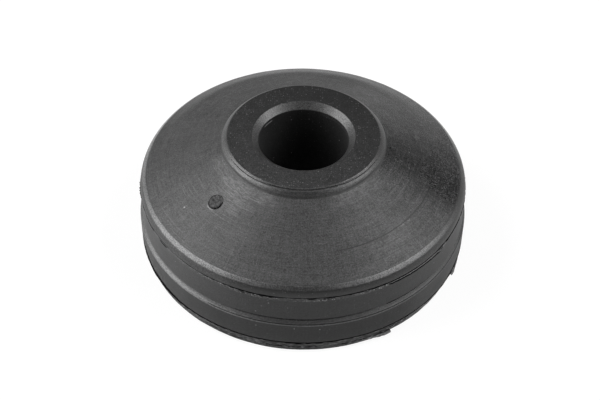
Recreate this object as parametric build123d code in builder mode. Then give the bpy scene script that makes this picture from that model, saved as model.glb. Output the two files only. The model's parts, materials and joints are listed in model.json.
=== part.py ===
from build123d import *
import os
from math import asin, atan2, cos, degrees, hypot, radians, sin, tan

# Shock absorber mount: a conical bush, moulded in one piece from solid black rubber.
# It sits on a shock absorber's stem and its end face takes the washer.
# Millimetres, +Z up. The origin is the centre of the flat underside.

# Driving dimensions: the bore
bore_diameter = 16.3
mouth_chamfer = 1.2

# Driving dimensions: the end face and the collar under it
face_diameter = 27.6
face_above_parting = 10.2
witness_width = 0.18
witness_drop = 0.12
collar_spread = 1.2
collar_height = 1.55
collar_bulge = 0.12
collar_root_radius = 0.35

# Driving dimensions: the cone and its rounded shoulder
shoulder_radius = 2.3

# Driving dimensions: the mould's parting line, a torn nick with a thin bead below it
body_diameter = 60.0
nick_depth = 0.22
nick_height = 0.30
bead_rise = 0.14
bead_height = 0.35

# Driving dimensions: the upper band and the cove that runs out to the lower band
upper_band_height = 5.4
upper_band_draft = 0.12
cove_undercut = 0.25
cove_lip = 0.40
cove_height = 1.25
lip_edge_bevel = 0.12

# Driving dimensions: the lower band and the trimmed foot
lower_band_height = 4.55
foot_nick_depth = 0.20
foot_nick_height = 0.25
foot_height = 2.60
foot_taper = 0.70

# Driving dimensions: the round mark that the injection gate left on the cone
gate_diameter = 2.8
gate_depth = 0.40
gate_from_axis = 20.25
gate_angle = 221.4

# Heights above the underside
lower_band_top = foot_height + lower_band_height
upper_band_foot = lower_band_top + cove_height
parting_z = upper_band_foot + upper_band_height
face_z = parting_z + face_above_parting
cone_top_z = face_z - collar_height

# Radii
body_radius = body_diameter / 2
upper_foot_radius = body_radius + upper_band_draft
cove_root_radius = upper_foot_radius - cove_undercut
lower_radius = upper_foot_radius + cove_lip
underside_radius = lower_radius - foot_taper
face_radius = face_diameter / 2
collar_radius = face_radius + witness_width
cone_top_radius = collar_radius + collar_spread

# The cone runs from the collar's root, and is tangent to the shoulder's arc. That arc is
# centred level with the parting line, so it meets the upright wall there.
shoulder_centre_radius = body_radius - shoulder_radius
run = shoulder_centre_radius - cone_top_radius
rise = cone_top_z - parting_z
slope = atan2(rise, run) - asin(shoulder_radius / hypot(run, rise))

with BuildPart() as rubber_mount:
    # Half section, from the axis out along the underside, up the outside and back to the axis
    with BuildSketch(Plane.XZ) as section:
        with BuildLine() as outline:
            underside = Line((0, 0), (underside_radius, 0))
            foot = Line(underside @ 1, (lower_radius, foot_height - foot_nick_height))
            foot_nick = Polyline(
                foot @ 1,
                (lower_radius - foot_nick_depth, foot_height - foot_nick_height / 2),
                (lower_radius, foot_height),
            )
            lower_band = Line(foot_nick @ 1, (lower_radius, lower_band_top))
            # The cove leaves the upper band's foot upright and sweeps out to the lip
            cove = TangentArc(
                (cove_root_radius, upper_band_foot), lower_band @ 1, tangent=(0, -1)
            )
            undercut = Line(cove @ 0, (upper_foot_radius, upper_band_foot))
            bead_foot = parting_z - nick_height - bead_height
            upper_band = Line(undercut @ 1, (body_radius, bead_foot))
            bead_top = (body_radius + bead_rise, parting_z - nick_height)
            bead = Line(upper_band @ 1, bead_top)
            nick = Polyline(
                bead @ 1,
                (body_radius - nick_depth, parting_z - nick_height / 2),
                (body_radius, parting_z),
            )
            shoulder = CenterArc(
                (shoulder_centre_radius, parting_z), shoulder_radius, 0, 90 - degrees(slope)
            )
            cone = Line(shoulder @ 1, (cone_top_radius, cone_top_z))
            collar = SagittaArc(
                cone @ 1, (collar_radius, face_z - witness_drop), -collar_bulge
            )
            witness = Polyline(
                collar @ 1,
                (face_radius, face_z - witness_drop),
                (face_radius, face_z),
            )
            end_face = Line(witness @ 1, (0, face_z))
            axis_line = Line(end_face @ 1, underside @ 0)
        make_face()
        fillet(section.vertices().sort_by_distance(cone @ 1)[0], collar_root_radius)
        chamfer(section.vertices().sort_by_distance(cove @ 1)[0], lip_edge_bevel)
    revolve(axis=Axis.Z)

    # Bore for the stem, chamfered at both mouths
    Hole(bore_diameter / 2)
    mouths = (
        rubber_mount.edges()
        .filter_by(GeomType.CIRCLE)
        .filter_by(lambda edge: abs(edge.radius - bore_diameter / 2) < 1e-4)
    )
    chamfer(mouths, mouth_chamfer)

    # Gate mark: a shallow round recess, square to the cone's slope
    gate_turn = radians(gate_angle)
    gate_z = cone_top_z - (gate_from_axis - cone_top_radius) * tan(slope)
    gate_plane = Plane(
        origin=(gate_from_axis * cos(gate_turn), gate_from_axis * sin(gate_turn), gate_z),
        z_dir=(sin(slope) * cos(gate_turn), sin(slope) * sin(gate_turn), cos(slope)),
    )
    with BuildSketch(gate_plane):
        Circle(gate_diameter / 2)
    extrude(amount=-gate_depth, mode=Mode.SUBTRACT)

rubber_mount.part.label = "rubber_mount"

os.makedirs("parts", exist_ok=True)
export_step(rubber_mount.part, "parts/rubber_mount.step")

box = rubber_mount.part.bounding_box().size
print("overall", round(box.X, 2), round(box.Y, 2), round(box.Z, 2))
print("cone slope", round(degrees(slope), 2), "face height", round(face_z, 2))
print("volume", round(rubber_mount.part.volume))
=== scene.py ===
# %% [markdown]
# # A shock absorber mount in black rubber
# The real part is one piece of solid rubber, pressed and cured in a two-part steel mould.
# Its shape is a body of revolution: a flat end face on a short collar, a long cone, a rounded
# shoulder, and two bands of side wall with a cove between them. Everything that makes it look
# real is small: the torn line where the mould halves met, the knife cuts along the foot, the
# scar of the injection gate, and dust on a soft black skin.
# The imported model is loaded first, because it fixes the place and the size of everything.

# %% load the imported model
import json
import math

import bpy
import numpy as np
from mathutils import Matrix, Vector, noise

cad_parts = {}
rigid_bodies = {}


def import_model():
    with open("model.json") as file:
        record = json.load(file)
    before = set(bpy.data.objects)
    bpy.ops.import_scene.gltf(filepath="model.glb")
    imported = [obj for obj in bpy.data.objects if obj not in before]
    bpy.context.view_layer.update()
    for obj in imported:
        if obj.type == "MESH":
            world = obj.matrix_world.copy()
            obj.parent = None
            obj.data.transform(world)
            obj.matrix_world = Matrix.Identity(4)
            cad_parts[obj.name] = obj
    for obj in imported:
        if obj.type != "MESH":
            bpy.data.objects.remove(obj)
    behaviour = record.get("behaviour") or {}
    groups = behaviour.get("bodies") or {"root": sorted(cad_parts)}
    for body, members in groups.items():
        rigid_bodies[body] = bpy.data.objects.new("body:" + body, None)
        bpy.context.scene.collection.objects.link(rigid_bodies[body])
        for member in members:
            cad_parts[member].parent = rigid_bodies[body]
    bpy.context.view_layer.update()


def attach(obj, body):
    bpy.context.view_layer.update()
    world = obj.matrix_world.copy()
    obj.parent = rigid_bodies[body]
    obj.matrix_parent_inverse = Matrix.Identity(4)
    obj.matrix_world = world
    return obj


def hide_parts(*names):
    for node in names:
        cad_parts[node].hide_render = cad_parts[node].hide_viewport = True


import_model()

MM = 0.001

# %% [markdown]
# ## The camera
# The photograph looks down on the mount at about 45 degrees, from eight body radii away. A
# camera could be aimed with a Track To constraint, but the place and the three turns were
# worked out by fitting the rings of the object, so they are written straight in as a matrix.

# %% camera
body_radius = 30.0
parting_z = 13.8
camera_distance = 240.0
camera_elevation = math.radians(43.82)
pitch = math.radians(44.90)
yaw = math.radians(0.17)
roll = math.radians(0.73)

camera = bpy.data.objects.new("photo_camera", bpy.data.cameras.new("photo_camera"))
bpy.context.scene.collection.objects.link(camera)
camera.data.sensor_width = 36.0
camera.data.lens = 77.66
camera.data.clip_start = 0.01
camera_place = Vector((
    0.0,
    -camera_distance * math.cos(camera_elevation) * MM,
    (parting_z + camera_distance * math.sin(camera_elevation)) * MM,
))
camera.matrix_world = (
    Matrix.Translation(camera_place)
    @ Matrix.Rotation(yaw, 4, "Z")
    @ Matrix.Rotation(math.pi / 2 - pitch, 4, "X")
    @ Matrix.Rotation(roll, 4, "Z")
)
bpy.context.scene.camera = camera
print("camera at", [round(v, 4) for v in camera_place])

# %% [markdown]
# ## Nodes written as arithmetic
# A shader is a sum of small formulas, and formulas are easier to read than wires. One class
# wraps an output socket, so that `1 - mask` or `height * 2` adds its Math node by itself.
# Every other node comes from a single method: its type, then its settings, then its sockets.
# The two nodes that every finish here ends in, a grey and a bump, get a method of their own.

# %% shader arithmetic
class Wire:
    """An output socket of a material, with arithmetic that adds Math nodes."""

    def __init__(self, tree, socket):
        self.tree = tree
        self.socket = socket

    def add(self, kind, settings, sockets, output=0):
        """Adds a node of that type, its settings first, then its sockets' values or links."""
        node = self.tree.nodes.new(kind)
        for name, setting in settings.items():
            if name == "stops":
                ramp = node.color_ramp
                while len(ramp.elements) < len(setting):
                    ramp.elements.new(0.5)
                for element, (place, level) in zip(ramp.elements, setting):
                    element.position = place
                    element.color = (level, level, level, 1.0)
            else:
                setattr(node, name, setting)
        for name, value in sockets.items():
            if isinstance(value, Wire):
                self.tree.links.new(value.socket, node.inputs[name])
            else:
                node.inputs[name].default_value = value
        return Wire(self.tree, node.outputs[output])

    def twin(self, name):
        """Another output of the same node."""
        return Wire(self.tree, self.socket.node.outputs[name])

    def math(self, operation, first, second=0.0, clamp=False):
        settings = {"operation": operation, "use_clamp": clamp}
        return self.add("ShaderNodeMath", settings, {0: first, 1: second})

    def __add__(self, other):
        return self.math("ADD", self, other)

    __radd__ = __add__

    def __sub__(self, other):
        return self.math("SUBTRACT", self, other)

    def __rsub__(self, other):
        return self.math("SUBTRACT", other, self)

    def __mul__(self, other):
        return self.math("MULTIPLY", self, other)

    __rmul__ = __mul__

    def __truediv__(self, other):
        return self.math("DIVIDE", self, other)

    def __rtruediv__(self, other):
        return self.math("DIVIDE", other, self)

    def __pow__(self, other):
        return self.math("POWER", self, other)

    def clamp(self):
        return self.math("ADD", self, 0.0, clamp=True)

    def rise(self, start, end):
        """0 below start, 1 above end, and smooth between them."""
        sockets = {"Value": self, "From Min": start, "From Max": end}
        return self.add("ShaderNodeMapRange", {"interpolation_type": "SMOOTHSTEP"}, sockets)

    def fall(self, start, end):
        return 1 - self.rise(start, end)

    def end_in(self, kind):
        """Links this shader to the surface of a new output node."""
        end = self.tree.nodes.new(kind)
        self.tree.links.new(self.socket, end.inputs["Surface"])

    def grey(self, level, blue=1.0):
        """A neutral colour of that level, with a little more blue where asked."""
        channels = {"Red": level, "Green": level, "Blue": level * blue}
        return self.add("ShaderNodeCombineColor", {}, channels)

    def bump(self, relief, depth):
        """A surface tilted by that relief, whose full height is that depth in mm."""
        sockets = {"Height": relief, "Strength": 1.0, "Distance": depth * MM}
        return self.add("ShaderNodeBump", {}, sockets)


print("shader arithmetic ready")

# %% [markdown]
# ## Backdrop and floor
# The room around the mount gives a faint, even light, brighter near the horizon and dim
# overhead. A picture of a real studio could wrap the world instead, but two numbers and a soft
# step by height do the same here, and can be changed at will.

# %% world
scene = bpy.context.scene
scene.view_settings.view_transform = "Standard"
world = bpy.data.worlds.new("studio")
scene.world = world
world.use_nodes = True
world.node_tree.nodes.clear()
sky = Wire(world.node_tree, None)
direction = sky.add("ShaderNodeTexCoord", {}, {}, "Generated")
height = sky.add("ShaderNodeSeparateXYZ", {}, {"Vector": direction}, "Z")
sky_level = height.fall(0.0, 0.35) * 0.75 + 0.10
background = sky.add(
    "ShaderNodeBackground", {}, {"Color": sky.grey(sky_level), "Strength": 1.0}
)
background.end_in("ShaderNodeOutputWorld")
print("world has", len(world.node_tree.nodes), "nodes")

# %% [markdown]
# The floor is white paper. A lamp strong enough to make it white would wash out the rubber, so
# the paper shines a little by itself, but only toward the camera and in mirrored rays. Under
# the mount even those see plain paper, so that no light seems to come from below. Out to 50 mm
# from the axis their glow fades in, which paints a soft shadow round the foot, seen only in the
# rubber's reflections.

# %% floor
floor_mesh = bpy.data.meshes.new("floor")
floor_half = 4.0
floor_mesh.from_pydata(
    [(-floor_half, -floor_half, 0), (floor_half, -floor_half, 0),
     (floor_half, floor_half, 0), (-floor_half, floor_half, 0)],
    [], [(0, 1, 2, 3)],
)
floor = bpy.data.objects.new("floor", floor_mesh)
scene.collection.objects.link(floor)
floor_material = bpy.data.materials.new("white_floor")
floor_material.use_nodes = True
floor_material.node_tree.nodes.clear()
paper = Wire(floor_material.node_tree, None)
rays = paper.add("ShaderNodeLightPath", {}, {})
floor_spot = paper.add("ShaderNodeTexCoord", {}, {}, "Object")
from_axis = paper.add(
    "ShaderNodeVectorMath", {"operation": "LENGTH"}, {0: floor_spot}, "Value"
)
# Painted shadow: mirrored rays see the paper's glow fade in from 28 to 50 mm off the axis.
glow_beyond_painted_shadow = from_axis.rise(28 * MM, 50 * MM)
mirrored = rays.twin("Is Glossy Ray") + rays.twin("Is Transmission Ray")
seen = (rays.twin("Is Camera Ray") + mirrored * glow_beyond_painted_shadow).clamp()
own_light = 0.82
lit_paper = paper.add("ShaderNodeBsdfDiffuse", {}, {"Color": (0.85, 0.85, 0.85, 1.0)})
white_paper = paper.add("ShaderNodeEmission", {}, {"Color": (1, 1, 1, 1), "Strength": 1.08})
floor_look = paper.add(
    "ShaderNodeMixShader", {}, {0: seen * own_light, 1: lit_paper, 2: white_paper}
)
floor_look.end_in("ShaderNodeOutputMaterial")
floor_mesh.materials.append(floor_material)
print("white_floor has", len(floor_material.node_tree.nodes), "nodes")

# %% [markdown]
# ## Light
# The object is lit by two side softboxes, the left one wider, and a soft panel overhead, with
# little light from the camera's side: that is why the end face and the front of the collar
# stay dark while the shoulder shines at the left and right. Black rubber shows a lamp only
# where its surface mirrors it, so the place and size of each lamp matter more than its power.
# The lamps are large and stand fifty radii away, which keeps the light soft and even.


# %% lamps
def softbox(name, azimuth, elevation, width, height, radiance, distance=1.5):
    """A soft panel that faces the mount, from that direction in degrees, sizes in metres."""
    lamp = bpy.data.lights.new(name, "AREA")
    lamp.shape = "RECTANGLE"
    lamp.size = width
    lamp.size_y = height
    lamp.energy = radiance * math.pi * width * height
    panel = bpy.data.objects.new(name, lamp)
    scene.collection.objects.link(panel)
    az = math.radians(azimuth)
    el = math.radians(elevation)
    away = Vector((
        math.cos(el) * math.cos(az), math.cos(el) * math.sin(az), math.sin(el)
    ))
    panel.location = away * distance + Vector((0, 0, 0.012))
    panel.rotation_euler = away.to_track_quat("Z", "Y").to_euler()
    panel.visible_camera = False
    print(name, "at", [round(v, 2) for v in panel.location], "power", round(lamp.energy, 2))


softbox("left_softbox", 180, 33, 1.15, 1.55, 4.6)
softbox("right_softbox", 0, 40, 0.62, 1.25, 5.8)
softbox("right_fill", 326, 35, 0.50, 0.55, 2.6)
softbox("overhead_panel", 270, 80, 0.7, 0.7, 1.2)

# %% [markdown]
# ## The section of the mount
# The mount is round about its axis, so one half section describes it. A Screw modifier
# could turn the section, but then every angle would be alike. Here the points of the section
# go into rows and columns of numbers instead, so that the torn line can open and close around
# the rim. Each corner is rounded a little, because rubber never has a knife-sharp edge. Smooth
# shading blends the tilt of faces that meet, so every flat run also gets a point close to each
# of its ends: the blend stays inside the corner, and the flat looks flat.

# %% section helpers
def line(start, end, steps):
    """Points from start to end, without the end."""
    return [
        (start[0] + (end[0] - start[0]) * i / steps, start[1] + (end[1] - start[1]) * i / steps)
        for i in range(steps)
    ]


def arc(centre, radius, start, end, steps):
    """Points along an arc, angles in degrees, without the end."""
    turns = [math.radians(start + (end - start) * i / steps) for i in range(steps)]
    return [(centre[0] + radius * math.cos(t), centre[1] + radius * math.sin(t)) for t in turns]


def flat(start, end, steps, guard=0.05):
    """A straight run without its ends, with one point close to each of them."""
    span = math.dist(start, end)
    shares = [guard / span] + [i / steps for i in range(1, steps)] + [1 - guard / span]
    return [
        (start[0] + (end[0] - start[0]) * t, start[1] + (end[1] - start[1]) * t) for t in shares
    ]


def eased(before, corner, after, cut, steps=2):
    """A corner rounded over that cut: a short curve from one side of it to the other."""
    b = Vector(before) - Vector(corner)
    a = Vector(after) - Vector(corner)
    start = Vector(corner) + b.normalized() * cut
    end = Vector(corner) + a.normalized() * cut
    points = []
    for i in range(steps + 1):
        t = i / steps
        p = start * (1 - t) ** 2 + Vector(corner) * 2 * t * (1 - t) + end * t ** 2
        points.append((p.x, p.y))
    return points


print("section helpers ready")

# %% main sizes, in millimetres
bore_radius = 8.15
mouth_radius = 9.35
face_z = 24.0
mouth_z = 22.8
band_radius = 30.52
lip_z = 7.0
foot_z = 2.64
slope = math.radians(25.95)
shoulder_radius = 2.3
shoulder_centre = (body_radius - shoulder_radius, parting_z)
cone_foot = (
    shoulder_centre[0] + shoulder_radius * math.sin(slope),
    shoulder_centre[1] + shoulder_radius * math.cos(slope),
)
turned_ring = 23.8
print("the cone starts at radius", round(cone_foot[0], 2), "and height", round(cone_foot[1], 2))

# %% [markdown]
# The narrow cuts have shapes of their own, as shares of a depth and a width that change around
# the rim. The bead's rows hold a share of its rise, how far below the nick they lie, the same
# where a flap hangs over a second cut, and how much of that flap's droop they take.

# %% shapes of the cuts
foot_nick_shape = [(0.0, 1.1), (0.3, 1.0), (0.92, 0.9), (1.0, 0.45), (0.25, 0.04)]
nick_shape = [(0.0, 1.06), (0.30, 1.0), (0.82, 0.92), (1.0, 0.55), (0.86, 0.16), (0.22, 0.07)]
bead_shape = [
    (0.0, 0.50, 0.74, 1.0), (0.0, 0.43, 0.66, 1.0), (0.0, 0.41, 0.62, 1.0),
    (0.1, 0.28, 0.34, 1.0), (0.6, 0.25, 0.31, 1.0), (1.0, 0.10, 0.15, 0.6),
    (0.8, 0.0, 0.0, 0.0),
]


def on_cone_line(radius, depth=0.0):
    """A point of the cone's line, or below it by that depth."""
    z = cone_foot[1] + (cone_foot[0] - radius) * math.tan(slope)
    return (radius - depth * math.sin(slope), z - depth * math.cos(slope))


def bowed(start, end, bulge, steps):
    """Points along a shallow arc from start to end, bowed to the right, without the end."""
    along = Vector(end) - Vector(start)
    across = Vector((along.y, -along.x)).normalized()
    points = []
    for i in range(steps):
        t = i / steps
        p = Vector(start) + along * t + across * bulge * 4 * t * (1 - t)
        points.append((p.x, p.y))
    return points


print("bead of", len(bead_shape), "rows, nick of", len(nick_shape), "rows")

# %% section from the underside to the parting line
section = []


def part(name, points):
    section.extend((name, r, z) for r, z in points)


part("underside", flat((9.41, 0.0), (29.72, 0.0), 1))
part("foot", eased((mouth_radius, 0.0), (29.82, 0.0), (band_radius, 2.35), 0.10))
part("foot", line((29.85, 0.10), (30.50, 2.29), 9)[1:])
part("foot", [(30.505, 2.30), (30.50, 2.36)])
part("foot_nick", [
    (30.5 - 0.3 * share, foot_z - 0.25 * down) for share, down in foot_nick_shape
])
part("lower_band", [(30.50, 2.645), (30.515, 2.67), (30.51, 2.70), (band_radius, 2.74)])
part("lower_band", flat((band_radius, 4.6), (band_radius, lip_z), 3))
part("lip", [(band_radius, lip_z), (30.507, 7.07), (30.46, 7.17), (30.42, 7.22)])
part("cove", [(30.405, 7.23), (30.35, 7.32)])
part("cove", bowed((30.35, 7.32), (29.87, 7.90), -0.07, 5)[1:])
part("cove", [(29.87, 7.90), (29.86, 7.93), (29.86, 8.02), (29.86, 8.14)])
part("undercut", [(29.86, 8.20), (29.88, 8.41), (30.0, 8.405), (30.08, 8.41)])
part("upper_band", [(30.115, 8.46)])
part("upper_band", flat((30.12, 8.47), (30.01, 12.30), 6))
part("bead", [
    (body_radius + 0.1 * share, parting_z - 0.3 - below) for share, below, _, _ in bead_shape
])
part("nick", [
    (body_radius - 0.4 * share, parting_z - 0.3 * down) for share, down in nick_shape
])
print(len(section), "points up to the parting line")

# %% section from the shoulder to the bore
part("shoulder", [(29.99, parting_z)])
part("shoulder", arc(shoulder_centre, shoulder_radius, 2.0, 37.0, 7))
part("shoulder", arc((24.635, 10.506), 6.78, 44.0, 51.0, 4))
part("crease", [on_cone_line(28.90), on_cone_line(28.82, 0.02), on_cone_line(28.74)])
part("cone", flat(on_cone_line(28.74), on_cone_line(23.94), 6))
part("ring", [on_cone_line(turned_ring + d) for d in (0.12, 0.03, -0.03, -0.12)])
collar_foot = on_cone_line(14.98)
part("cone", flat(on_cone_line(23.66), on_cone_line(15.14), 12))
part("collar", eased(on_cone_line(15.14), collar_foot, (14.74, 22.86), 0.12, 3))
part("collar", [(14.775, 22.80)])
part("collar", arc((13.600, 22.600), 1.24, 20, 72, 6))
part("witness", [(13.955, 23.785), (13.945, 23.74), (13.905, 23.74), (13.89, 23.80)])
part("witness", [(13.87, 23.85), (13.845, 23.91), (13.815, 23.955), (13.78, 23.985)])
part("face", [(13.73, face_z)])
part("face", flat((13.73, face_z), (9.41, face_z), 2))
part("chamfer", eased((13.8, face_z), (mouth_radius, face_z), (bore_radius, mouth_z), 0.06))
part("chamfer", flat((9.308, 23.958), (8.207, 22.857), 3))
part("bore", eased((mouth_radius, face_z), (bore_radius, mouth_z), (bore_radius, 1.2), 0.08))
part("bore", flat((bore_radius, 22.72), (bore_radius, 1.28), 1))
part("bore", eased((bore_radius, mouth_z), (bore_radius, 1.2), (mouth_radius, 0.0), 0.08))
part("lower_mouth", flat((8.207, 1.143), (9.308, 0.042), 2))
part("lower_mouth", [(9.308, 0.042), (mouth_radius, 0.012)])
regions = np.array([name for name, _, _ in section])
section_r = np.array([r for _, r, _ in section])
section_z = np.array([z for _, _, z in section])


def rows_of(name):
    """The rows of the section in that region."""
    return np.flatnonzero(regions == name)


print(len(section), "points in the section")

# %% [markdown]
# ## Rows and columns
# The section is repeated about every half degree. A slow wave of noise moves each point a few
# hundredths of a millimetre along its normal, because cured rubber shrinks unevenly, and that
# is what makes a highlight on it waver instead of running like a ruled line.

# %% turn the section
around = 630
columns = np.radians(np.arange(around) * 360.0 / around)
degrees = np.arange(around) * 360.0 / around
rows = len(section)
grid_r = np.repeat(section_r[:, None], around, axis=1)
grid_z = np.repeat(section_z[:, None], around, axis=1)
step_r = np.roll(section_r, -1) - np.roll(section_r, 1)
step_z = np.roll(section_z, -1) - np.roll(section_z, 1)
step_length = np.hypot(step_r, step_z)
normal_r = step_z / step_length
normal_z = -step_r / step_length
print("grid of", rows, "rows and", around, "columns")

# %% the uneven skin
unevenness = {
    "underside": 0.0, "foot": 0.05, "foot_nick": 0.03, "shoulder": 0.018, "crease": 0.018,
    "cone": 0.022, "ring": 0.022, "witness": 0.015, "face": 0.012, "lower_mouth": 0.01,
    "nick": 0.0,
}
plain_unevenness = 0.02
for row in range(rows):
    amount = unevenness.get(regions[row], plain_unevenness)
    if amount == 0.0:
        continue
    for column in range(around):
        c = math.cos(columns[column])
        s = math.sin(columns[column])
        r = grid_r[row, column]
        z = grid_z[row, column]
        slow = noise.noise(Vector((r * c, r * s, z)) * 0.28)
        quick = noise.noise(Vector((r * c, r * s, z + 40)) * 1.3)
        push = amount * (slow + 0.35 * quick)
        grid_r[row, column] += push * normal_r[row]
        grid_z[row, column] += push * normal_z[row]
print("the skin is up to", round(float(np.abs(grid_r - section_r[:, None]).max()), 3), "mm off")

# %% [markdown]
# ## The torn parting line
# Where the two halves of the mould met, a thin sheet of rubber squeezed out, and was torn off
# by hand. It leaves a nick that shows as dashes on the left, is wider in front and ragged on
# the right. On the right a flap of the sheet also hangs over a second cut just below the nick.
# Each is deeper than it is wide, so the shoulder keeps the light out and it reads as a black
# line, made darker still by painted shade on the faces inside it. Tables of angle and size
# describe it, read around the rim, with noise for the tears.
# A texture could draw such a line, but it would lie flat and be gone at the outline.


# %% reading a table around the rim
def around_rim(table):
    """Turns a table of (angle, value) into one value for each column."""
    angles = [a for a, _ in table]
    values = [v for _, v in table]
    return np.interp(degrees, angles, values, period=360.0)


def ragged(frequency, seed, power=1.0):
    """Noise between -1 and 1 around the rim, the same after a full turn."""
    values = []
    for t in columns:
        place = Vector((math.cos(t) * frequency, math.sin(t) * frequency, seed))
        values.append(noise.noise(place))
    values = np.array(values) * 1.6
    return np.sign(values) * np.abs(values) ** power


print("tables can be read at", around, "angles")

# %% the nick's width and the bead's rise
nick_gap = around_rim([
    (0, 0.30), (20, 0.20), (48, 0.30), (75, 0.15), (110, 0.26), (140, 0.12), (165, 0.18),
    (181, 0.03), (189.5, 0.03), (190, 0.26), (192, 0.26), (192.5, 0.03), (196, 0.03),
    (196.5, 0.22), (198, 0.22), (199, 0.03), (200, 0.16), (208, 0.14), (209.5, 0.01),
    (212.5, 0.01), (213.5, 0.15), (217, 0.14), (219, 0.02), (224, 0.02), (226, 0.08),
    (230, 0.10), (231, 0.03), (234, 0.03), (235, 0.10), (243, 0.10),
    (246, 0.12), (251, 0.17), (257, 0.28), (261, 0.24), (265, 0.10), (271.4, 0.07),
    (272.4, 0.26), (273.6, 0.22), (274.8, 0.10), (281, 0.14), (286, 0.17), (297, 0.20),
    (302, 0.34), (325, 0.36), (327, 0.48), (335, 0.42), (345, 0.48), (348, 0.62), (351, 0.44),
])
bead_rise = around_rim([
    (0, 0.07), (60, 0.04), (120, 0.08), (180, 0.05), (198, 0.05), (205, 0.06), (211, 0.03),
    (216, 0.06), (222, 0.02), (240, 0.05), (247, 0.14), (258, 0.15), (263, 0.06), (270, 0.05),
    (276, 0.15), (280, 0.15), (283, 0.05), (292, 0.10), (305, 0.10), (316, 0.06), (330, 0.06),
])
tear = ragged(26, 3.0) * 0.5 + ragged(60, 5.0) * 0.5
nick_gap = np.clip(0.72 * nick_gap * (1 + 0.45 * tear), 0.015, 0.50)
nick_depth = np.clip(0.03 + 1.4 * nick_gap, 0.04, 0.62)
bead_rise = np.clip(bead_rise * (1 + 0.8 * ragged(45, 9.0)), 0.0, 0.24)
nick_top = parting_z + 0.03 * ragged(40, 12.0)
print("nick is", round(nick_gap.min(), 2), "to", round(nick_gap.max(), 2), "mm wide")

# %% the flap, the second cut and the rows of the nick
second_cut = around_rim([
    (199, 0.0), (200, 0.7), (208, 0.7), (209, 0.0), (212.5, 0.0), (213.5, 0.7), (217, 0.7),
    (218, 0.0), (299, 0.0), (301, 1.0), (325.0, 1.0), (325.6, 0.0),
])
second_drop = around_rim([
    (199, -0.04), (218, -0.04), (300, -0.12), (304, -0.06), (313, 0.0), (320, 0.16),
    (325, 0.36), (327, 0.0),
])
flap_rise = bead_rise * np.clip(1 - 2 * second_cut, 0.0, 1.0) - 0.02 * second_cut
bead_rows = rows_of("bead")
rows_in_second_cut = (2, 3)
for number, (share, below, below_flap, drop) in enumerate(bead_shape):
    inward = 0.34 * second_cut if number in rows_in_second_cut else 0.0
    down = below + (below_flap - below) * second_cut
    grid_r[bead_rows[number]] = body_radius + 0.015 + flap_rise * share - inward
    grid_z[bead_rows[number]] = nick_top - 1.06 * nick_gap - down - second_drop * drop
for row, (share, down) in zip(rows_of("nick"), nick_shape):
    grid_r[row] = body_radius - nick_depth * share
    grid_z[row] = nick_top - nick_gap * down
print("the second cut runs along", int((second_cut > 0.3).sum()), "columns")

# %% [markdown]
# ## The edge of the end face
# A loose plate in the mould pressed the end face, and where it met the collar it left a groove
# thinner than a hair. It is plain in front, and fades at the sides into a rounded edge. The
# section holds the groove, so here its rows are blended toward a plain rounding by the angle.

# %% the groove round the end face
groove = around_rim([
    (0, 0.0), (200, 0.0), (214, 0.45), (236, 0.55), (254, 1.0), (288, 1.0), (306, 0.55),
    (326, 0.45), (340, 0.0),
])
edge_rows = np.concatenate([rows_of("collar")[-6:], rows_of("witness")])
for row, (r, z) in zip(edge_rows, bowed((14.765, 23.02), (13.78, 23.99), 0.07, 14)):
    grid_r[row] += (r - section_r[row]) * (1 - groove)
    grid_z[row] += (z - section_z[row]) * (1 - groove)
print(len(edge_rows), "rows blend from a groove to a rounded edge")

# %% [markdown]
# ## The trimmed foot
# The foot of the mount was trimmed with a knife, so its edge runs in short, uneven facets. Rows
# of the foot are moved by noise that is long around the rim and short up the wall, as a blade
# leaves it. A narrow cut above the foot is as deep as it is wide, and reads as a dark line,
# made darker by painted shade on its faces. At the left and right the band just above it gets
# painted
# shade as well: two rows of the band rise and fall there, and what lies below them, with
# streaks of the foot at the left, gets the near-black material of the cuts.

# %% the foot's facets
facets = ragged(9, 21.0) * 0.6 + ragged(30, 22.0) * 0.4
trim = around_rim([
    (0, 0.0), (90, 0.1), (180, 0.0), (235, 0.05), (262, 0.2), (290, 0.20), (300.5, 0.12),
    (302.2, -0.05), (320, -0.1), (335.2, -0.1), (336, 0.16), (341, 0.12), (347, 0.0),
])
for row in rows_of("foot"):
    up = min(max(section_z[row] / 2.35, 0.0), 1.0)
    bow = 4 * up * (1 - up)
    streak = ragged(38, 30.0 + section_z[row] * 2.2) * 0.05
    grid_r[row] += (1 - up) * trim + bow * (0.10 * facets + streak)
    if section_z[row] < 0.12:
        grid_z[row] = np.clip(grid_z[row], 0.0, None)
print("the knife left the foot up to", round(float(trim.max()), 2), "mm too wide")

# %% the cut above the foot
foot_gap = around_rim([
    (0, 0.30), (90, 0.20), (170, 0.30), (185, 0.50), (222, 0.50), (235, 0.26), (262, 0.20),
    (268, 0.34), (278, 0.30), (286, 0.18), (320, 0.18), (335, 0.24), (350, 0.30),
])
foot_gap = np.clip(foot_gap * (1 + 0.35 * ragged(30, 51.0)), 0.06, 0.62)
for row, (share, down) in zip(rows_of("foot_nick"), foot_nick_shape):
    grid_r[row] = band_radius - (0.08 + 0.9 * foot_gap) * share
    grid_z[row] = foot_z - foot_gap * down
for row in rows_of("foot"):
    ceiling = 2.62 - 1.1 * foot_gap - 0.012 * (2.4 - section_z[row])
    grid_z[row] = np.minimum(grid_z[row], ceiling)
print("the cut is", round(foot_gap.min(), 2), "to", round(foot_gap.max(), 2), "mm wide")

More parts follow.
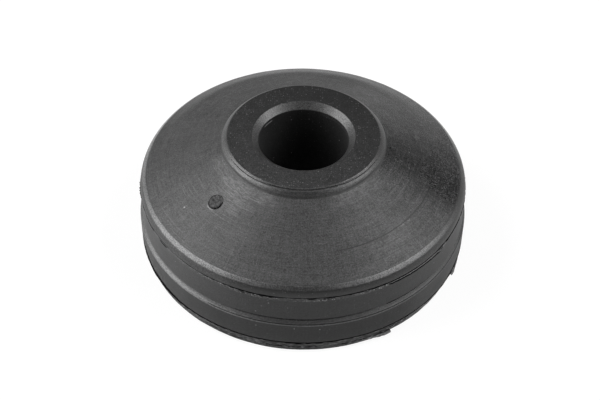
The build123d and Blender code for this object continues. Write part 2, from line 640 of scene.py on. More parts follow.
# %% painted shade on the band above the cut
# Painted shade: how far up the band above the foot's cut the near-black band reaches, by angle.
foot_painted_shade = around_rim([
    (0, 0.0), (180, 0.0), (183, 1.2), (190, 1.7), (200, 1.15), (208, 0.60), (218, 0.32),
    (226, 0.0), (326, 0.0), (334, 0.30), (342, 0.75), (350, 1.1), (356, 1.2), (359, 0.0),
])
foot_painted_shade = np.clip(foot_painted_shade * (1 + 0.35 * ragged(45, 81.0)), 0.0, 1.75)
band_rows = rows_of("lower_band")
for row in band_rows[2:4]:
    grid_z[row] += foot_painted_shade
print("the scuff reaches", round(float(foot_painted_shade.max()), 2), "mm up the band")
print("lowest point of the grid", round(float(grid_z.min()), 4), "mm")

# %% [markdown]
# ## The mould's turned ring and the cove's root
# The steel mould was turned on a lathe, and one tool mark shows as a fine ring low on the
# cone. It is a shallow groove, plainest on the right and at the back. The tool that cut the
# cove left a groove too, in its root under the upper band. Both are a row or two of points
# pushed in, which costs nothing and catches the light as a real groove does.

# %% the ring
ring_depth = around_rim([
    (0, 0.010), (40, 0.008), (90, 0.010), (130, 0.006), (180, 0.002), (285, 0.002),
    (295, 0.022), (340, 0.026), (350, 0.016),
])
ring_depth = ring_depth * np.clip(1 + 0.8 * ragged(18, 44.0), 0.2, 2)
for row in rows_of("ring")[1:3]:
    grid_z[row] -= ring_depth
print("ring is up to", round(float(ring_depth.max()), 3), "mm deep")

# %% the cove's root
root_depth = around_rim([
    (0, 0.08), (90, 0.06), (180, 0.03), (240, 0.03), (256, 0.14), (345, 0.14),
]) * np.clip(1 + 0.5 * ragged(24, 61.0), 0.2, 2)
root_rows = rows_of("cove")[-3:]
for row in root_rows[:2]:
    grid_r[row] -= root_depth
print("the root's groove is up to", round(float(root_depth.max()), 3), "mm deep")

# %% [markdown]
# ## The gate mark
# Rubber was injected through a hole in the mould, and the plug that filled the hole broke away
# with the runner. The scar is a round recess with a torn floor. A Boolean would cut it, but a
# Boolean leaves long thin triangles. Here a window is left open in the cone's grid, and rings
# of points run from its rim down to the centre of the floor.

# %% gate mark
gate_angle = math.radians(221.4)
gate_from_axis = 20.25
gate_radius = 1.4
outward = Vector((math.cos(gate_angle), math.sin(gate_angle), 0.0))
down_slope = (outward * math.cos(slope) - Vector((0, 0, 1)) * math.sin(slope)).normalized()
sideways = Vector((0, 0, 1)).cross(outward).normalized()
square_up = sideways.cross(down_slope) * -1
if square_up.z < 0:
    square_up = square_up * -1
gate_centre = outward * gate_from_axis + Vector((0, 0, on_cone_line(gate_from_axis)[1]))
print("gate mark at", [round(v, 2) for v in gate_centre])

# %% window in the cone's grid
vertices = np.stack([
    grid_r * np.cos(columns)[None, :], grid_r * np.sin(columns)[None, :], grid_z
], axis=-1)
window_rows = [row for row in rows_of("cone") if abs(section_r[row] - gate_from_axis) < 2.6]
first_row = min(window_rows)
last_row = max(window_rows)
half_window = 13
middle = round(math.degrees(gate_angle) * around / 360)
first_column = middle - half_window
last_column = middle + half_window
rim = (
    [(first_row, c) for c in range(first_column, last_column)]
    + [(r, last_column) for r in range(first_row, last_row)]
    + [(last_row, c) for c in range(last_column, first_column, -1)]
    + [(r, first_column) for r in range(last_row, first_row, -1)]
)
rim_points = [Vector(vertices[r, c]) for r, c in rim]
print("window of", len(rim), "points for the gate mark")


# %% the scar's surface
def gate_trench(u, v):
    """0 to 1: how far that place lies in the trench along the scar's lower right."""
    share = math.hypot(u, v) / gate_radius
    toward = math.atan2(v, u) + 0.3 * noise.noise(Vector((u * 2.2, v * 2.2, 2.0)))
    return max(0.0, math.cos(toward - 1.0)) ** 1.2 * min(max((share - 0.62) / 0.2, 0.0), 1.0)


def gate_height(u, v):
    """Height in mm above the cone of the scar's surface; u runs down the slope, v sideways."""
    away = math.hypot(u, v)
    toward = math.atan2(v, u)
    edge = gate_radius * (1 + 0.03 * noise.noise(Vector((u, v, 0)) * 0.9))
    lip = 0.12 * max(0.0, math.cos(toward - 0.1)) ** 2 + 0.01
    if away > edge:
        return lip * math.exp(-((away - edge) / 0.16) ** 2)
    torn = noise.noise(Vector((u * 1.7, v * 1.7, 4.0))) * 0.16
    torn += noise.noise(Vector((u * 4.5, v * 4.5, 8.0))) * 0.14
    wall = min(max((edge - away) / 0.06, 0.0), 1.0)
    return lip * (1 - wall) - wall * max(0.08 + 0.45 * gate_trench(u, v) + torn, 0.02)


def on_cone(u, v):
    """The point of the cone's surface at that place in the scar's own plane."""
    p = gate_centre + down_slope * u + sideways * v
    return Vector((p.x, p.y, on_cone_line(math.hypot(p.x, p.y))[1]))


print("the scar's centre lies", round(-gate_height(0.0, 0.0), 2), "mm deep")

# %% rings of the gate mark
vertex_list = [tuple(p) for p in vertices.reshape(-1, 3)]
ring_radii = [2.0, 1.75, 1.62, 1.53, 1.46, 1.41, 1.375, 1.335, 1.28, 1.18, 1.02, 0.84, 0.66,
              0.48, 0.30, 0.14]
rings = [[r * around + c for r, c in rim]]
flat_rim = [
    ((p - gate_centre).dot(down_slope), (p - gate_centre).dot(sideways)) for p in rim_points
]
for radius in ring_radii:
    ring = []
    for u0, v0 in flat_rim:
        reach = math.hypot(u0, v0)
        u = u0 / reach * radius
        v = v0 / reach * radius
        if radius == 2.0:
            u = (u + u0) / 2
            v = (v + v0) / 2
        point = on_cone(u, v) + square_up * gate_height(u, v)
        ring.append(len(vertex_list))
        vertex_list.append(tuple(point))
    rings.append(ring)
floor_centre = len(vertex_list)
vertex_list.append(tuple(on_cone(0, 0) + square_up * gate_height(0.0, 0.0)))
print(len(rings), "rings in the gate mark")

# %% [markdown]
# ## The body's mesh
# Rows and columns become four-sided faces, and the gate mark's rings are sewn into the window.
# The mould's two halves had different finishes, so the cone, the shoulder, the end face and
# the cove get one material, and the bands, the bore and all torn rubber another. Faces inside
# a cut or a groove, in the gate mark's steep wall and trench, and in a band above the foot get
# a third, near-black one: painted shade. A grid of true and false says which they are: a mask
# in the shader would be soft, and a cut's edge is sharp.

# %% faces that lie in a cut, given painted shade
def between(first, last, seed, fray=1.5):
    """True for the columns between those angles, with ends ragged over that many degrees."""
    wobble = fray * ragged(50, seed)
    return (degrees > first + wobble) & (degrees < last + wobble)


# Faces that get painted shade: the near-black material of the cuts.
painted_shade_faces = np.zeros((rows, around), dtype=bool)
painted_shade_faces[rows_of("nick")] = nick_gap > 0.035
painted_shade_faces[bead_rows[-1]] = nick_gap > 0.08
painted_shade_faces[bead_rows[1:4]] = second_cut > 0.3
painted_shade_faces[rows_of("foot_nick")] = True
for row in rows_of("foot"):
    streaks = ragged(52, 90.0 + 0.7 * row) > -0.12
    painted_shade_faces[row] = between(193.0, 211.0, 71.0 + 0.6 * row, 6.0) & streaks
painted_shade_faces[band_rows[1]] = foot_painted_shade > 0.12
groove_rows = rows_of("witness")
painted_shade_faces[groove_rows[0]] = between(213.0, 328.0, 72.0, 5.0)
painted_shade_faces[groove_rows[1]] = between(206.0, 335.0, 72.7, 5.0)
painted_shade_faces[groove_rows[2]] = between(246.0, 294.0, 72.0)
painted_shade_faces[root_rows] = root_depth > 0.07
painted_shade_faces[root_rows[0] - 1] = between(300.0, 344.0, 74.0)
painted_shade_faces[rows_of("cove")[0]] = between(238.0, 348.0, 73.0)
print(int(painted_shade_faces.sum()), "faces lie in a cut or a groove")

# %% faces of the body
cap_finish, wall_finish, painted_shade_finish = range(3)
faces = []
face_materials = []
wall_regions = {"underside", "foot", "foot_nick", "lower_band", "undercut", "upper_band",
                "bead", "nick", "bore", "lower_mouth"}
for row in range(rows):
    above = (row + 1) % rows
    finish = wall_finish if regions[row] in wall_regions else cap_finish
    in_rows = first_row <= row < last_row
    for column in range(around):
        if in_rows and first_column <= column < last_column:
            continue
        beside = (column + 1) % around
        faces.append((
            row * around + column, row * around + beside,
            above * around + beside, above * around + column,
        ))
        face_materials.append(painted_shade_finish if painted_shade_faces[row, column] else finish)
print(len(faces), "faces from rows and columns")

# %% faces of the gate mark
for radius, outer, inner in zip(ring_radii, rings, rings[1:]):
    for i in range(len(outer)):
        k = (i + 1) % len(outer)
        faces.append((outer[i], outer[k], inner[k], inner[i]))
        u, v = flat_rim[i]
        u, v = (u * radius / math.hypot(u, v), v * radius / math.hypot(u, v))
        # The gate mark's steep wall and deep trench get painted shade.
        steep = radius > 1.38 and math.cos(math.atan2(v, u) - 1.6) > 0.1
        deep = gate_trench(u, v) > 0.45 + 0.4 * noise.noise(Vector((u * 5, v * 5, 1.0)))
        torn_finish = painted_shade_finish if steep or deep else wall_finish
        face_materials.append(cap_finish if radius > 1.42 else torn_finish)
for i in range(len(rings[-1])):
    k = (i + 1) % len(rings[-1])
    faces.append((rings[-1][i], rings[-1][k], floor_centre))
    face_materials.append(wall_finish)
print(len(faces), "faces with the gate mark")

# %% the body as one piece
inside_window = {
    r * around + c
    for r in range(first_row + 1, last_row) for c in range(first_column + 1, last_column)
}
new_index = {}
kept = []
for index, point in enumerate(vertex_list):
    if index not in inside_window:
        new_index[index] = len(kept)
        kept.append(tuple(v * MM for v in point))
body_mesh = bpy.data.meshes.new("rubber_body")
body_mesh.from_pydata(kept, [], [tuple(new_index[i] for i in face) for face in faces])
body_mesh.polygons.foreach_set("material_index", face_materials)
body_mesh.polygons.foreach_set("use_smooth", [True] * len(faces))
body_mesh.update()
rubber_body = bpy.data.objects.new("rubber_body", body_mesh)
scene.collection.objects.link(rubber_body)
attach(rubber_body, "root")
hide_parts("rubber_mount")
print("rubber_body:", len(kept), "points,", len(faces), "faces")

# %% [markdown]
# ## Where on the mount a finish lies
# The finish changes with the place: a matte end face, a dusty cone, a smoother shoulder, torn
# rubber along the parting line. Images painted over a UV map could do it, but then the detail
# would be only as fine as the image. The material reads the point's own place in the object
# instead, turns it into a radius, a height and an angle around the axis, and makes soft-edged
# masks from those. The angle is 0 in front, and grows to the right.


# %% places as masks
class Place:
    """Radius, height and angle of the shaded point, in millimetres and degrees."""

    def __init__(self, tree):
        start = Wire(tree, None)
        spot = start.add("ShaderNodeTexCoord", {}, {}, "Object")
        self.mm = start.add(
            "ShaderNodeVectorMath", {"operation": "SCALE"}, {0: spot, "Scale": 1 / MM}
        )
        self.x = start.add("ShaderNodeSeparateXYZ", {}, {"Vector": self.mm}, "X")
        self.y = self.x.twin("Y")
        self.z = self.x.twin("Z")
        self.r = (self.x * self.x + self.y * self.y) ** 0.5
        self.turn = self.x.math("ARCTAN2", self.x, 0 - self.y) * math.degrees(1)
        self.start = start

    def around(self, along, across, lift=0.0):
        """Coordinates for marks that run round the axis: slow along them, quick across."""
        return self.start.add("ShaderNodeCombineXYZ", {}, {
            "X": self.x / self.r * along,
            "Y": self.y / self.r * along,
            "Z": self.r * across + self.z * lift,
        })

    def noise(self, scale, detail=2.0, roughness=0.5, coordinates=None):
        sockets = {"Vector": coordinates or self.mm, "Scale": scale, "Detail": detail,
                   "Roughness": roughness}
        return self.start.add("ShaderNodeTexNoise", {}, sockets, 0)

    def specks(self, scale, size, share):
        """Small grains of that radius in mm, in that share of the cells, some paler."""
        cells = self.start.add(
            "ShaderNodeTexVoronoi", {}, {"Vector": self.mm, "Scale": scale}, "Distance"
        )
        chance = cells.add(
            "ShaderNodeSeparateColor", {}, {"Color": cells.twin("Color")}, "Red"
        )
        dot = cells.fall(size * scale * 0.4, size * scale)
        return dot * chance.rise(1 - share, 1.0)

    def by_turn(self, stops):
        """A level between 0 and 1 from a table of (turn, level), from -180 to 180."""
        share = self.turn / 360 + 0.5
        settings = {"stops": [((turn + 180) / 360, level) for turn, level in stops]}
        return self.start.add("ShaderNodeValToRGB", settings, {"Fac": share})

    def window(self, value, low, high, soft):
        """1 between low and high, with soft ends outside them."""
        return value.rise(low - soft, low) * value.fall(high, high + soft)

    def away(self, centre):
        """Distance in mm from a point."""
        settings = {"operation": "DISTANCE"}
        sockets = {0: self.mm, 1: tuple(centre)}
        return self.start.add("ShaderNodeVectorMath", settings, sockets, "Value")

    def spot(self, centre, reach):
        """1 at a point in mm, falling to 0 at that reach."""
        return self.away(centre).fall(0.0, reach)


print("masks by place ready")


# %% a new finish
def rubber(name):
    """A new finish of the body: material, shader, and the place of the shaded point."""
    material = bpy.data.materials.new(name)
    material.use_nodes = True
    body_mesh.materials.append(material)
    return material, material.node_tree.nodes["Principled BSDF"], Place(material.node_tree)


def feed(shader, wires):
    """Links wires to the shader's inputs of those names."""
    for name, wire in wires.items():
        wire.tree.links.new(wire.socket, shader.inputs[name])


print("finishes can be made")

# %% [markdown]
# ## Black rubber above the parting line
# The rubber is a neutral near-black with a soft sheen. On the cone it carries a thin bloom of
# dust, brushed round the axis, thickest beside the gate mark and the collar's foot and in
# front on the right. The end face was pressed against a sanded steel plate, so it is rougher
# and darker. Dust makes rubber paler and duller at once, so one mask drives both.
# First come the textures: grain from the sanded mould, clouds, and marks that run round the
# axis or down the slope.

# %% textures of the cap
cap, cap_shader, place = rubber("moulded_cap")
grain = place.noise(3.4, 2.0, 0.6)
fine_grain = place.noise(7.5, 2.0, 0.7)
cloud = place.noise(0.22, 3.0, 0.6)
blotch = place.noise(0.9, 2.0, 0.5)
brushing = place.noise(1.0, 4.0, 0.7, place.around(12.0, 4.6))
scratch = place.noise(1.0, 2.0, 0.6, place.around(3.0, 6.0))
hatch = place.noise(1.0, 2.0, 0.6, place.around(120.0, 0.15))
print("moulded_cap starts with", len(cap.node_tree.nodes), "nodes")

# %% [markdown]
# The masks follow the section: each takes a run of radius or height, so the finish changes
# exactly where the shape does.

# %% regions of the cap
face = place.z.rise(23.93, 23.97) * place.r.rise(9.25, 9.4)
mouth_slope = place.r.fall(9.3, 9.4) * place.r.rise(8.15, 8.3)
cone = place.r.rise(14.98, 15.06) * place.z.rise(15.77, 15.81)
collar = place.r.fall(14.98, 15.06) * place.r.rise(13.93, 13.97)
shoulder = place.z.fall(15.76, 15.80) * place.z.rise(13.0, 13.2)
shine = place.z.fall(15.76, 15.80) * place.z.rise(15.04, 15.26)
cove = place.z.fall(8.6, 8.8)
step = place.window(place.z, 23.80, 23.975, 0.02) * place.window(
    place.r, 13.77, 13.90, 0.02
) * place.window(place.turn, -64.0, 62.0, 10.0)
gate_low_side = place.away(gate_centre + down_slope * 1.5).fall(0.5, 1.1)
# Painted highlight on the gate mark's low rim.
gate_rim_painted_highlight = place.away(gate_centre).fall(1.62, 1.72) * gate_low_side
print("regions of the cap ready")

# %% [markdown]
# A table of angle and level sets the cone's tone: partly a bloom of dust, partly painted light
# and shade where the lamps fall. A mottled patch on the right is painted shade, nearly black.
# Brushed noise breaks the dust up, so that it lies in short strokes and never looks sprayed on.

# %% dust, scratches and painted light on the cone
# Dust and painted light: the cone's tone by angle.
cone_dust_and_painted_light = place.by_turn([
    (-180, 0.0), (-150, 0.0), (-110, 0.47), (-90, 0.76), (-62, 0.99), (-45, 0.88),
    (-30, 0.77), (-15, 0.58), (0, 0.54), (15, 0.52), (30, 0.75), (45, 0.72), (60, 0.62),
    (75, 0.25), (90, 0.0), (105, 0.04), (120, 0.20), (135, 0.16), (155, 0.0), (180, 0.0),
])
left_bloom = place.window(place.turn, -66.0, -26.0, 16.0)
right_bloom = place.window(place.turn, 24.0, 52.0, 12.0)
foot_of_collar = place.window(place.r, 15.1, 16.6, 1.0)
gate_dust = place.spot((-13.4, -12.6, 20.6), 5.2)
gate_streak = place.spot((-11.3, -14.6, 20.6), 4.0)
right_dust = place.spot((17.5, -19.0, 17.4), 5.5)
bloom = cone * (
    foot_of_collar * (0.75 * left_bloom + 0.55 * right_bloom)
    + 0.75 * gate_dust + 0.50 * gate_streak + 0.45 * right_dust
)
brushed = (brushing.rise(0.44, 0.60) * 0.85 + 0.15) * (cloud.rise(0.25, 0.7) * 0.6 + 0.4)
dust = bloom * brushed
scratches = cone * (0.25 + gate_dust + 0.5 * left_bloom).clamp() * (
    scratch.rise(0.58, 0.70) + 0.5 * hatch.rise(0.60, 0.72)
)
# Painted shade: a nearly black, mottled patch on the right of the cone.
right_shade = place.window(place.turn, 76.0, 102.0, 14.0) * place.r.rise(20.0, 26.0)
far_side = cone * (place.turn.rise(52.0, 80.0) + place.turn.fall(-140.0, -100.0))
print("dust and scratches ready")

# %% [markdown]
# Grains of dust are the dots of a Voronoi texture: only a share of its cells shows one. The
# lines are narrow windows of radius or height: painted shade along the turned ring and the
# crease between cone and shoulder, painted shade at the top of the cove, a painted highlight on
# its lip, and a painted glint just outside the ring.

# %% specks and lines
small_specks = place.specks(1.3, 0.13, 0.30)
tiny_specks = place.specks(2.6, 0.11, 0.55)
crumb = place.spot((-20.87, -12.84, 18.02), 0.26)
speck_level = (
    small_specks * (
        face * 0.85 + cone * 0.35 + far_side * 0.5 + mouth_slope * 0.5 + collar * 0.5
    )
    + tiny_specks * (face * 0.90 + cone * 0.30 + shoulder * 0.40 + cove * 0.35)
)
# Painted shade along the turned ring.
ring_painted_shade = place.window(place.r, 23.74, 23.84, 0.07) * cone * place.window(
    place.turn, 20.0, 175.0, 10.0
)
ring_glint = place.window(place.r, 23.94, 24.10, 0.10) * cone * place.window(
    place.turn, 47.0, 50.0, 3.0
) * grain.rise(0.35, 0.65)
# Painted shade along the crease between cone and shoulder.
crease = place.window(place.r, 28.79, 28.86, 0.05) * place.z.rise(15.0, 15.2)
# Painted shade at the top of the cove, under the upper band.
cove_top_painted_shade = place.window(place.z, 7.98, 8.40, 0.16) * cove
# Painted highlight along the cove's lip.
lip_painted_highlight = place.window(place.z, 7.02, 7.16, 0.05) * cove
print("specks and lines ready")

# %% [markdown]
# The shoulder, the collar and the cove get a painted highlight at the left and right, and the
# shoulder and collar painted shade in front and on the right; the end face gets painted shade
# toward the back and the right. At the back the cone mirrors the bright floor at a low angle,
# where even rubber shines, so a painted reflection raises its tone there, and its roughness is
# set apart.

# %% tone of the cap
# Painted highlights by angle on the shoulder, the collar and the cove.
painted_highlight_by_turn = place.by_turn([
    (-180, 0.6), (-118, 1.0), (-100, 0.7), (-80, 0.2), (-62, 0.35), (-45, 0.5), (-30, 1.0),
    (-16, 0.5), (-8, 0.2), (6, 0.15), (14, 0.45), (28, 1.0), (36, 0.65), (50, 0.3), (75, 0.0),
    (95, 0.2), (118, 0.9), (180, 0.6),
])
# Painted shade on the shoulder and collar, by angle: low values darken them.
painted_light_by_turn = place.by_turn([
    (-180, 0.5), (-90, 1.0), (-45, 1.0), (-28, 0.65), (-14, 0.06), (0, 0.0), (14, 0.0),
    (30, 0.25), (50, 0.60), (68, 0.35), (78, 0.05), (95, 0.2), (180, 0.5),
])
# Painted shade: the end face darkens toward the back and the right.
plain_tone = 0.0215 * (
    1 - (0.36 + 0.030 * place.y + 0.015 * place.x) * face
    - (shoulder + 0.7 * collar) * (1 - painted_light_by_turn)
)
# Painted reflection: the back of the cone gets a lighter tone where it mirrors the bright
# floor.
back_by_turn = place.by_turn([
    (-180, 0.93), (-150, 1.0), (-135, 1.0), (-120, 0.87), (-105, 0.3), (-90, 0.05),
    (85, 0.0), (105, 0.2), (120, 0.40), (135, 0.49), (150, 0.61), (165, 0.97), (180, 0.93),
])
back = cone * back_by_turn * place.r.fall(25.0, 27.6)
# Painted light in the tone: highlights on the shoulder's left, the cove's left, the collar and
# the gate rim; shade at the top of the cove and in the right patch.
tone = (
    plain_tone * (1 - cone) + 0.058 * cone_dust_and_painted_light * cone * (1 - 0.9 * right_shade)
    + 0.016 * back + 0.028 * right_shade * cone * fine_grain.rise(0.50, 0.72)
    + 0.084 * painted_highlight_by_turn * shine + 0.024 * painted_highlight_by_turn * collar
    + 0.010 * shoulder * place.window(place.turn, -55.0, -30.0, 10.0)
    + cove * (0.010 + 0.006 * place.window(place.turn, -50.0, -20.0, 12.0) - 0.018 * cove_top_painted_shade)
    + cove * painted_highlight_by_turn * 0.014 + 0.014 * lip_painted_highlight + 0.10 * gate_rim_painted_highlight
)
grain_by_turn = 2.0 * place.by_turn([
    (-180, 0.8), (-90, 0.6), (-45, 0.55), (0, 0.55), (25, 0.7), (45, 0.80), (75, 1.0),
    (130, 1.0), (180, 0.8),
])
variation = (
    2.2 * (grain - 0.5) + 4.5 * (fine_grain - 0.5)
    + (cone + 0.6 * face) * (0.6 * (cloud - 0.5) + 0.8 * (blotch - 0.5))
    + cone * (1.1 * (scratch - 0.5) + 0.9 * (hatch - 0.5)) + 1.8 * far_side * (brushing - 0.5)
) * (1 + cone * (grain_by_turn - 1) + 0.5 * shoulder)
tone = tone + (0.013 + 0.024 * far_side + 0.6 * tone) * (1 + 0.5 * face) * variation
tone = tone.math("MAXIMUM", tone, 0.002)
# Painted shade along the ring and the crease, and a painted glint beside the ring.
level = (
    tone + 0.10 * dust + 0.035 * scratches + 0.17 * speck_level + 0.5 * crumb
    + 0.07 * ring_glint
) * (1 - 0.85 * ring_painted_shade) * (1 - 0.5 * crease)
cap_colour = place.start.grey(level, 1.01)
print("moulded_cap has", len(cap.node_tree.nodes), "nodes so far")

# %% [markdown]
# A coat gives the worn places their narrow shine on top of the dull rubber: the shoulder's
# edge, the bore's mouth, the cove, the collar and the step beside the end face. Its weight is
# broken up by the grain, because a smooth coat would look like plastic.

# %% roughness, coat and relief of the cap
roughness = (
    0.45 + 0.13 * face + 0.10 * dust + 0.20 * (grain - 0.5) + 0.05 * (cloud - 0.5)
    - 0.14 * far_side - 0.08 * right_shade * cone + 0.30 * back
).clamp()
shine_by_turn = place.by_turn([
    (-180, 0.8), (-118, 1.0), (-85, 1.0), (-60, 1.0), (-30, 1.0), (0, 0.8), (36, 0.9),
    (50, 0.5), (75, 0.06), (92, 0.10), (118, 0.9), (180, 0.8),
])
cove_by_turn = place.by_turn([
    (-180, 0.3), (-95, 0.5), (-70, 0.9), (-40, 1.0), (-25, 0.8), (-12, 0.0), (20, 0.0),
    (45, 0.0), (110, 0.2), (180, 0.3),
])
collar_by_turn = place.by_turn([
    (-180, 0.1), (-95, 0.2), (-66, 0.6), (-45, 1.0), (-30, 1.0), (-18, 0.5), (0, 0.4),
    (14, 0.4), (36, 0.65), (60, 0.5), (75, 0.22), (180, 0.1),
])
coat = (
    (shine * shine_by_turn + 0.75 * mouth_slope
     + cove * cove_by_turn * place.z.fall(7.68, 7.88) + 0.8 * step
     + 0.8 * collar * place.z.rise(22.95, 23.15) * collar_by_turn)
    * (0.85 + 1.8 * (grain - 0.5) + 4.5 * (fine_grain - 0.5) + 0.6 * (blotch - 0.5))
).clamp()
relief = (
    grain * (0.8 + 0.4 * face) + fine_grain * 0.8 + brushing * 0.3 * cone
    + (scratch + hatch) * 0.3 * cone + small_specks * 0.5
)
feed(cap_shader, {
    "Base Color": cap_colour, "Roughness": roughness, "Coat Weight": coat,
    "Normal": place.start.bump(relief, 0.038),
})
cap_shader.inputs["IOR"].default_value = 1.52
cap_shader.inputs["Coat Roughness"].default_value = 0.38
cap_shader.inputs["Coat IOR"].default_value = 1.58
print("moulded_cap has", len(cap.node_tree.nodes), "nodes")

# %% [markdown]
# ## Black rubber of the side wall
# Below the parting line the mould was smoother and duller, with faint upright drag marks where
# the mount was pulled out. It is made as the cap is, with textures first and regions next.

# %% textures and regions of the wall
wall, wall_shader, place = rubber("moulded_wall")
grain = place.noise(3.2, 3.0, 0.65)
fine_grain = place.noise(7.0, 2.0, 0.6)
cloud = place.noise(0.2, 2.0, 0.5)
drag = place.noise(1.0, 2.0, 0.5, place.around(60.0, 0.0, 0.25))
streak = place.noise(1.0, 3.0, 0.65, place.around(26.0, 0.0, 7.0))
flakes = place.noise(1.0, 3.0, 0.65, place.around(46.0, 1.5, 5.0))
lower_band = place.z.fall(7.2, 7.4)
foot = place.z.fall(2.36, 2.44)
outside = place.r.rise(29.0, 29.3)
bore = place.r.fall(9.5, 9.7)
scar = place.away(gate_centre).fall(1.6, 1.8)
scar_mottle = place.noise(1.6, 3.0, 0.7).rise(0.35, 0.65)
nick = outside * (
    place.z.rise(12.3, 12.4) * place.r.fall(29.86, 29.97)
    + place.window(place.z, 2.15, 2.65, 0.04) * place.r.fall(30.36, 30.46)
)
print("regions of the wall ready")

# %% [markdown]
# Torn rubber shows pale: crumbs and ragged edges along the parting line, and short streaks
# where the knife went along the foot. The flap on the right and the tips of the slivers are
# paler too, partly as torn rubber and partly as painted light. In the bore, a painted glint
# sits under the chamfer at the back left, and its right side is paler just under the chamfer.

# %% torn and cut places
# The bore's right side, paler just under the chamfer.
pale_mouth_band = bore * place.window(place.z, 22.1, 22.70, 0.08) * place.window(
    place.turn, 62.0, 150.0, 14.0
)
# Painted glint under the chamfer at the back left.
mouth_glint = bore * place.window(place.z, 22.12, 22.36, 0.05) * place.window(
    place.turn, -132.0, -121.0, 4.0
)
torn_zone = (
    place.window(place.turn, -27.0, -9.0, 3.0)
    + place.window(place.turn, 4.5, 10.5, 1.5)
    + 0.7 * place.window(place.turn, 20.0, 56.0, 4.0)
    + 0.35
).clamp()
torn_edge = place.window(place.z, 13.0, 13.75, 0.08) * torn_zone * place.r.rise(29.96, 30.03)
crumbs = place.specks(3.2, 0.17, 0.75)
# Paler flap and sliver tips: partly torn rubber, partly painted light.
flap = place.window(place.z, 13.08, 13.44, 0.05) * place.window(place.turn, 31.0, 55.0, 1.5)
flake_tips = (place.r - 0.28 * place.z).rise(30.12, 30.20) * foot
torn = torn_edge * (0.7 * flakes.rise(0.46, 0.62) + 2.6 * crumbs) + 0.35 * flap
cut = foot * outside * (streak.rise(0.48, 0.66) + 0.6 * flakes.rise(0.55, 0.68))
print("torn and cut places ready")

# %% tone of the wall
small_specks = place.specks(0.9, 0.15, 0.25)
tiny_specks = place.specks(2.4, 0.10, 0.35)
pits = place.specks(0.55, 0.20, 0.05)
# Painted light by angle on the side wall, with painted shade on the lower band.
band_painted_light_by_turn = place.by_turn([
    (-180, 0.4), (-90, 0.9), (-60, 1.0), (-45, 0.92), (-30, 0.68), (-15, 0.43), (0, 0.32),
    (15, 0.35), (30, 0.45), (45, 0.60), (60, 0.62), (90, 0.7), (180, 0.4),
])
tone = 0.05 * band_painted_light_by_turn * (1 - lower_band * (0.70 - 0.50 * band_painted_light_by_turn))
# Painted reflection on the lower band at the front right.
tone = tone + 0.012 * lower_band * place.window(place.turn, 48.0, 72.0, 14.0)
# Painted shade in the bore and in the cuts.
tone = tone * (1 - 0.6 * bore) * (1 - 0.8 * nick) * (1 - scar)
tone = tone + (0.022 + 0.05 * scar_mottle) * scar
variation = 1.8 * (grain - 0.5) + 3.4 * (fine_grain - 0.5) + 0.5 * (cloud - 0.5)
tone = tone + (0.006 + 0.5 * tone) * (1 - 0.7 * nick) * variation
tone = tone.math("MAXIMUM", tone, 0.0015)
level = (
    tone + 0.12 * torn + 0.15 * cut + 0.07 * flake_tips
    + (1 - scar) * (1 - nick) * (0.16 * small_specks + 0.07 * tiny_specks)
    + 0.03 * pale_mouth_band * flakes.rise(0.4, 0.7) + 0.16 * mouth_glint
) * (1 - 0.6 * pits)
wall_colour = place.start.grey(level, 1.01)
print("moulded_wall has", len(wall.node_tree.nodes), "nodes so far")

# %% roughness and relief of the wall
roughness = (
    0.50 + 0.08 * (drag - 0.5) + 0.14 * (grain - 0.5) + 0.08 * foot + 0.3 * (nick + bore)
).clamp()
relief = (
    grain * 0.6 + fine_grain * 0.3 + drag * 0.4 + streak * 1.2 * foot
    + flakes * 1.4 * torn_edge + grain * 2.0 * scar
)
feed(wall_shader, {
    "Base Color": wall_colour, "Roughness": roughness,
    "Normal": place.start.bump(relief, 0.025),
})
wall_shader.inputs["Specular IOR Level"].default_value = 0.32
print("moulded_wall has", len(wall.node_tree.nodes), "nodes")

# %% [markdown]
# ## Painted shade inside the cuts
# Inside a narrow cut light is swallowed after a few bounces, and torn rubber has no skin that
# could shine. A third, plain material paints that shade: nearly black, rough, with hardly any
# shine. It also paints the shade in the grooves, the gate mark's trench and a band above the
# foot.

# %% finish of painted shade in the cuts
cuts, cuts_shader, place = rubber("cuts_painted_shade")
level = 0.004 + 0.006 * place.noise(4.0, 2.0, 0.6).rise(0.55, 0.75)
feed(cuts_shader, {"Base Color": place.start.grey(level)})
cuts_shader.inputs["Roughness"].default_value = 0.85
cuts_shader.inputs["Specular IOR Level"].default_value = 0.08
print("cuts_painted_shade has", len(cuts.node_tree.nodes), "nodes")

# %% [markdown]
# ## Flash along the parting line
# A little of the squeezed-out sheet always stays on: low fins on the left that break the
# outline, a curled tongue on the right, and rags between them. Each is a thin strip that is
# rooted inside the body and torn along its outer edge, so it is a closed solid of its own.


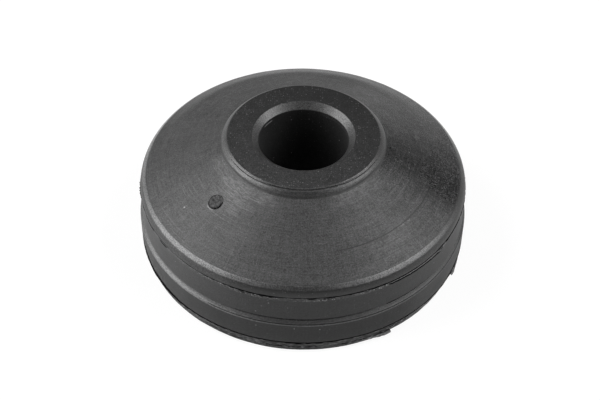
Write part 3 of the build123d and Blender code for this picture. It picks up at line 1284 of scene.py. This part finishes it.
# %% torn strips
def torn_strip(first, last, reach, lift, thickness, root, height, seed, fray=1.0, step=0.25):
    """The points and faces of a thin strip around part of the rim, rooted inside the body.

    reach and lift are functions of how far along the strip a place is, from 0 to 1: how far
    its torn edge stands out past the wall, and how far that edge bends up.
    """
    count = max(6, int(round((last - first) / step)))
    points = []
    for i in range(count + 1):
        t = i / count
        a = math.radians(first + (last - first) * t)
        c = math.cos(a)
        s = math.sin(a)
        jag = noise.noise(Vector((c * 60 * fray, s * 60 * fray, seed)))
        chip = noise.noise(Vector((c * 150 * fray, s * 150 * fray, seed + 5)))
        out = max(reach(t) * (1 + 0.45 * jag + 0.30 * chip), 0.0)
        edge = root + 0.25 + out
        up = lift(t) + 0.05 * noise.noise(Vector((c * 50, s * 50, seed + 9)))
        thin = thickness * (0.35 + 0.25 * (1 + jag))
        middle_r = (root + edge) / 2
        middle_up = up * 0.35
        for r, z in (
            (root, height - thickness / 2), (middle_r, height + middle_up - thickness / 2),
            (edge, height + up - thin / 2), (edge + 0.02, height + up),
            (edge, height + up + thin / 2), (middle_r, height + middle_up + thickness / 2),
            (root, height + thickness / 2),
        ):
            points.append((r * c * MM, r * s * MM, max(z, 0.0) * MM))
    ring = 7
    quads = [
        (i * ring + k, (i + 1) * ring + k, (i + 1) * ring + (k + 1) % ring,
         i * ring + (k + 1) % ring)
        for i in range(count) for k in range(ring)
    ]
    ends = [tuple(range(ring)), tuple(count * ring + k for k in reversed(range(ring)))]
    return points, quads + ends


print("torn strips can be made")


# %% gathering strips into a piece
def gather(name, strips, material):
    """One piece from several strips."""
    points = []
    shapes = []
    for strip_points, strip_faces in strips:
        base = len(points)
        points.extend(strip_points)
        shapes.extend(tuple(base + i for i in face) for face in strip_faces)
    mesh = bpy.data.meshes.new(name)
    mesh.from_pydata(points, [], shapes)
    mesh.polygons.foreach_set("use_smooth", [True] * len(shapes))
    mesh.update()
    mesh.materials.append(material)
    piece = bpy.data.objects.new(name, mesh)
    scene.collection.objects.link(piece)
    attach(piece, "root")
    print(name, "has", len(strips), "strips and", len(shapes), "faces")


def hump(peak):
    """Rises from 0 to peak and falls back to 0 along the strip."""
    return lambda t: peak * math.sin(math.pi * t) ** 0.5


def ramp(start, end):
    """Goes evenly from start to end along the strip."""
    return lambda t: start + (end - start) * t


def level_at(value):
    """Stays the same along the strip."""
    return lambda t: value


print("strip helpers ready")

# %% [markdown]
# Each strip is given by the angles it runs between, its reach, its lift, its thickness, the
# radius of its root and its height. The next number picks its tears, and the last one says how
# fine they are.

# %% parting flash
parting_strips = [
    torn_strip(180.5, 194.0, hump(0.34), level_at(0.02), 0.10, 29.6, 13.50, 1.0),
    torn_strip(243.5, 262.0, hump(0.34), level_at(-0.06), 0.10, 29.6, 13.42, 4.0, 1.4),
    torn_strip(274.6, 281.5, hump(0.36), level_at(-0.04), 0.10, 29.6, 13.50, 5.0, 1.4),
    torn_strip(286.0, 300.0, hump(0.30), level_at(-0.05), 0.10, 29.6, 13.40, 6.0, 1.4),
    torn_strip(321.0, 325.6, ramp(0.06, 0.42), ramp(0.0, 0.22), 0.12, 29.7, 13.12, 7.0),
    torn_strip(326.2, 328.4, hump(0.22), level_at(0.05), 0.10, 29.6, 13.46, 8.0),
    torn_strip(349.0, 356.0, hump(0.14), level_at(0.0), 0.10, 29.6, 13.50, 9.0),
    torn_strip(18.0, 31.0, hump(0.16), level_at(0.0), 0.10, 29.6, 13.48, 10.0),
    torn_strip(62.0, 71.0, hump(0.22), level_at(0.03), 0.10, 29.6, 13.48, 11.0),
    torn_strip(104.0, 121.0, hump(0.14), level_at(0.0), 0.10, 29.6, 13.48, 12.0),
    torn_strip(150.0, 158.0, hump(0.20), level_at(-0.03), 0.10, 29.6, 13.48, 13.0),
]
gather("parting_flash", parting_strips, wall)

# %% [markdown]
# ## Flakes along the foot
# The knife did not cut clean through everywhere. It left slivers along the foot, and two of
# them stand out from the outline on the right. They hang down at their outer edge: bent up,
# they would mirror the dark wall above them, and bent down they catch the light of the room.

# %% foot flash
foot_strips = [
    torn_strip(236.0, 252.0, hump(0.10), level_at(-0.14), 0.12, 30.00, 0.95, 21.0, 0.5),
    torn_strip(255.0, 276.0, hump(0.10), level_at(-0.14), 0.12, 30.10, 1.30, 22.0, 0.5),
    torn_strip(284.0, 301.6, ramp(0, 0.40), ramp(-0.1, -0.45), 0.10, 30.1, 1.05, 23.0, 0.3),
    torn_strip(297.5, 308.0, hump(0.14), level_at(-0.16), 0.12, 30.22, 1.85, 24.0, 0.6),
    torn_strip(335.6, 346.0, ramp(0.26, 0.0), level_at(-0.24), 0.10, 30.1, 1.15, 25.0, 0.4),
    torn_strip(40.0, 63.0, hump(0.08), level_at(0.0), 0.12, 30.05, 0.70, 26.0, 0.6),
    torn_strip(128.0, 150.0, hump(0.10), level_at(0.0), 0.12, 30.05, 0.60, 27.0, 0.6),
]
gather("foot_flash", foot_strips, wall)
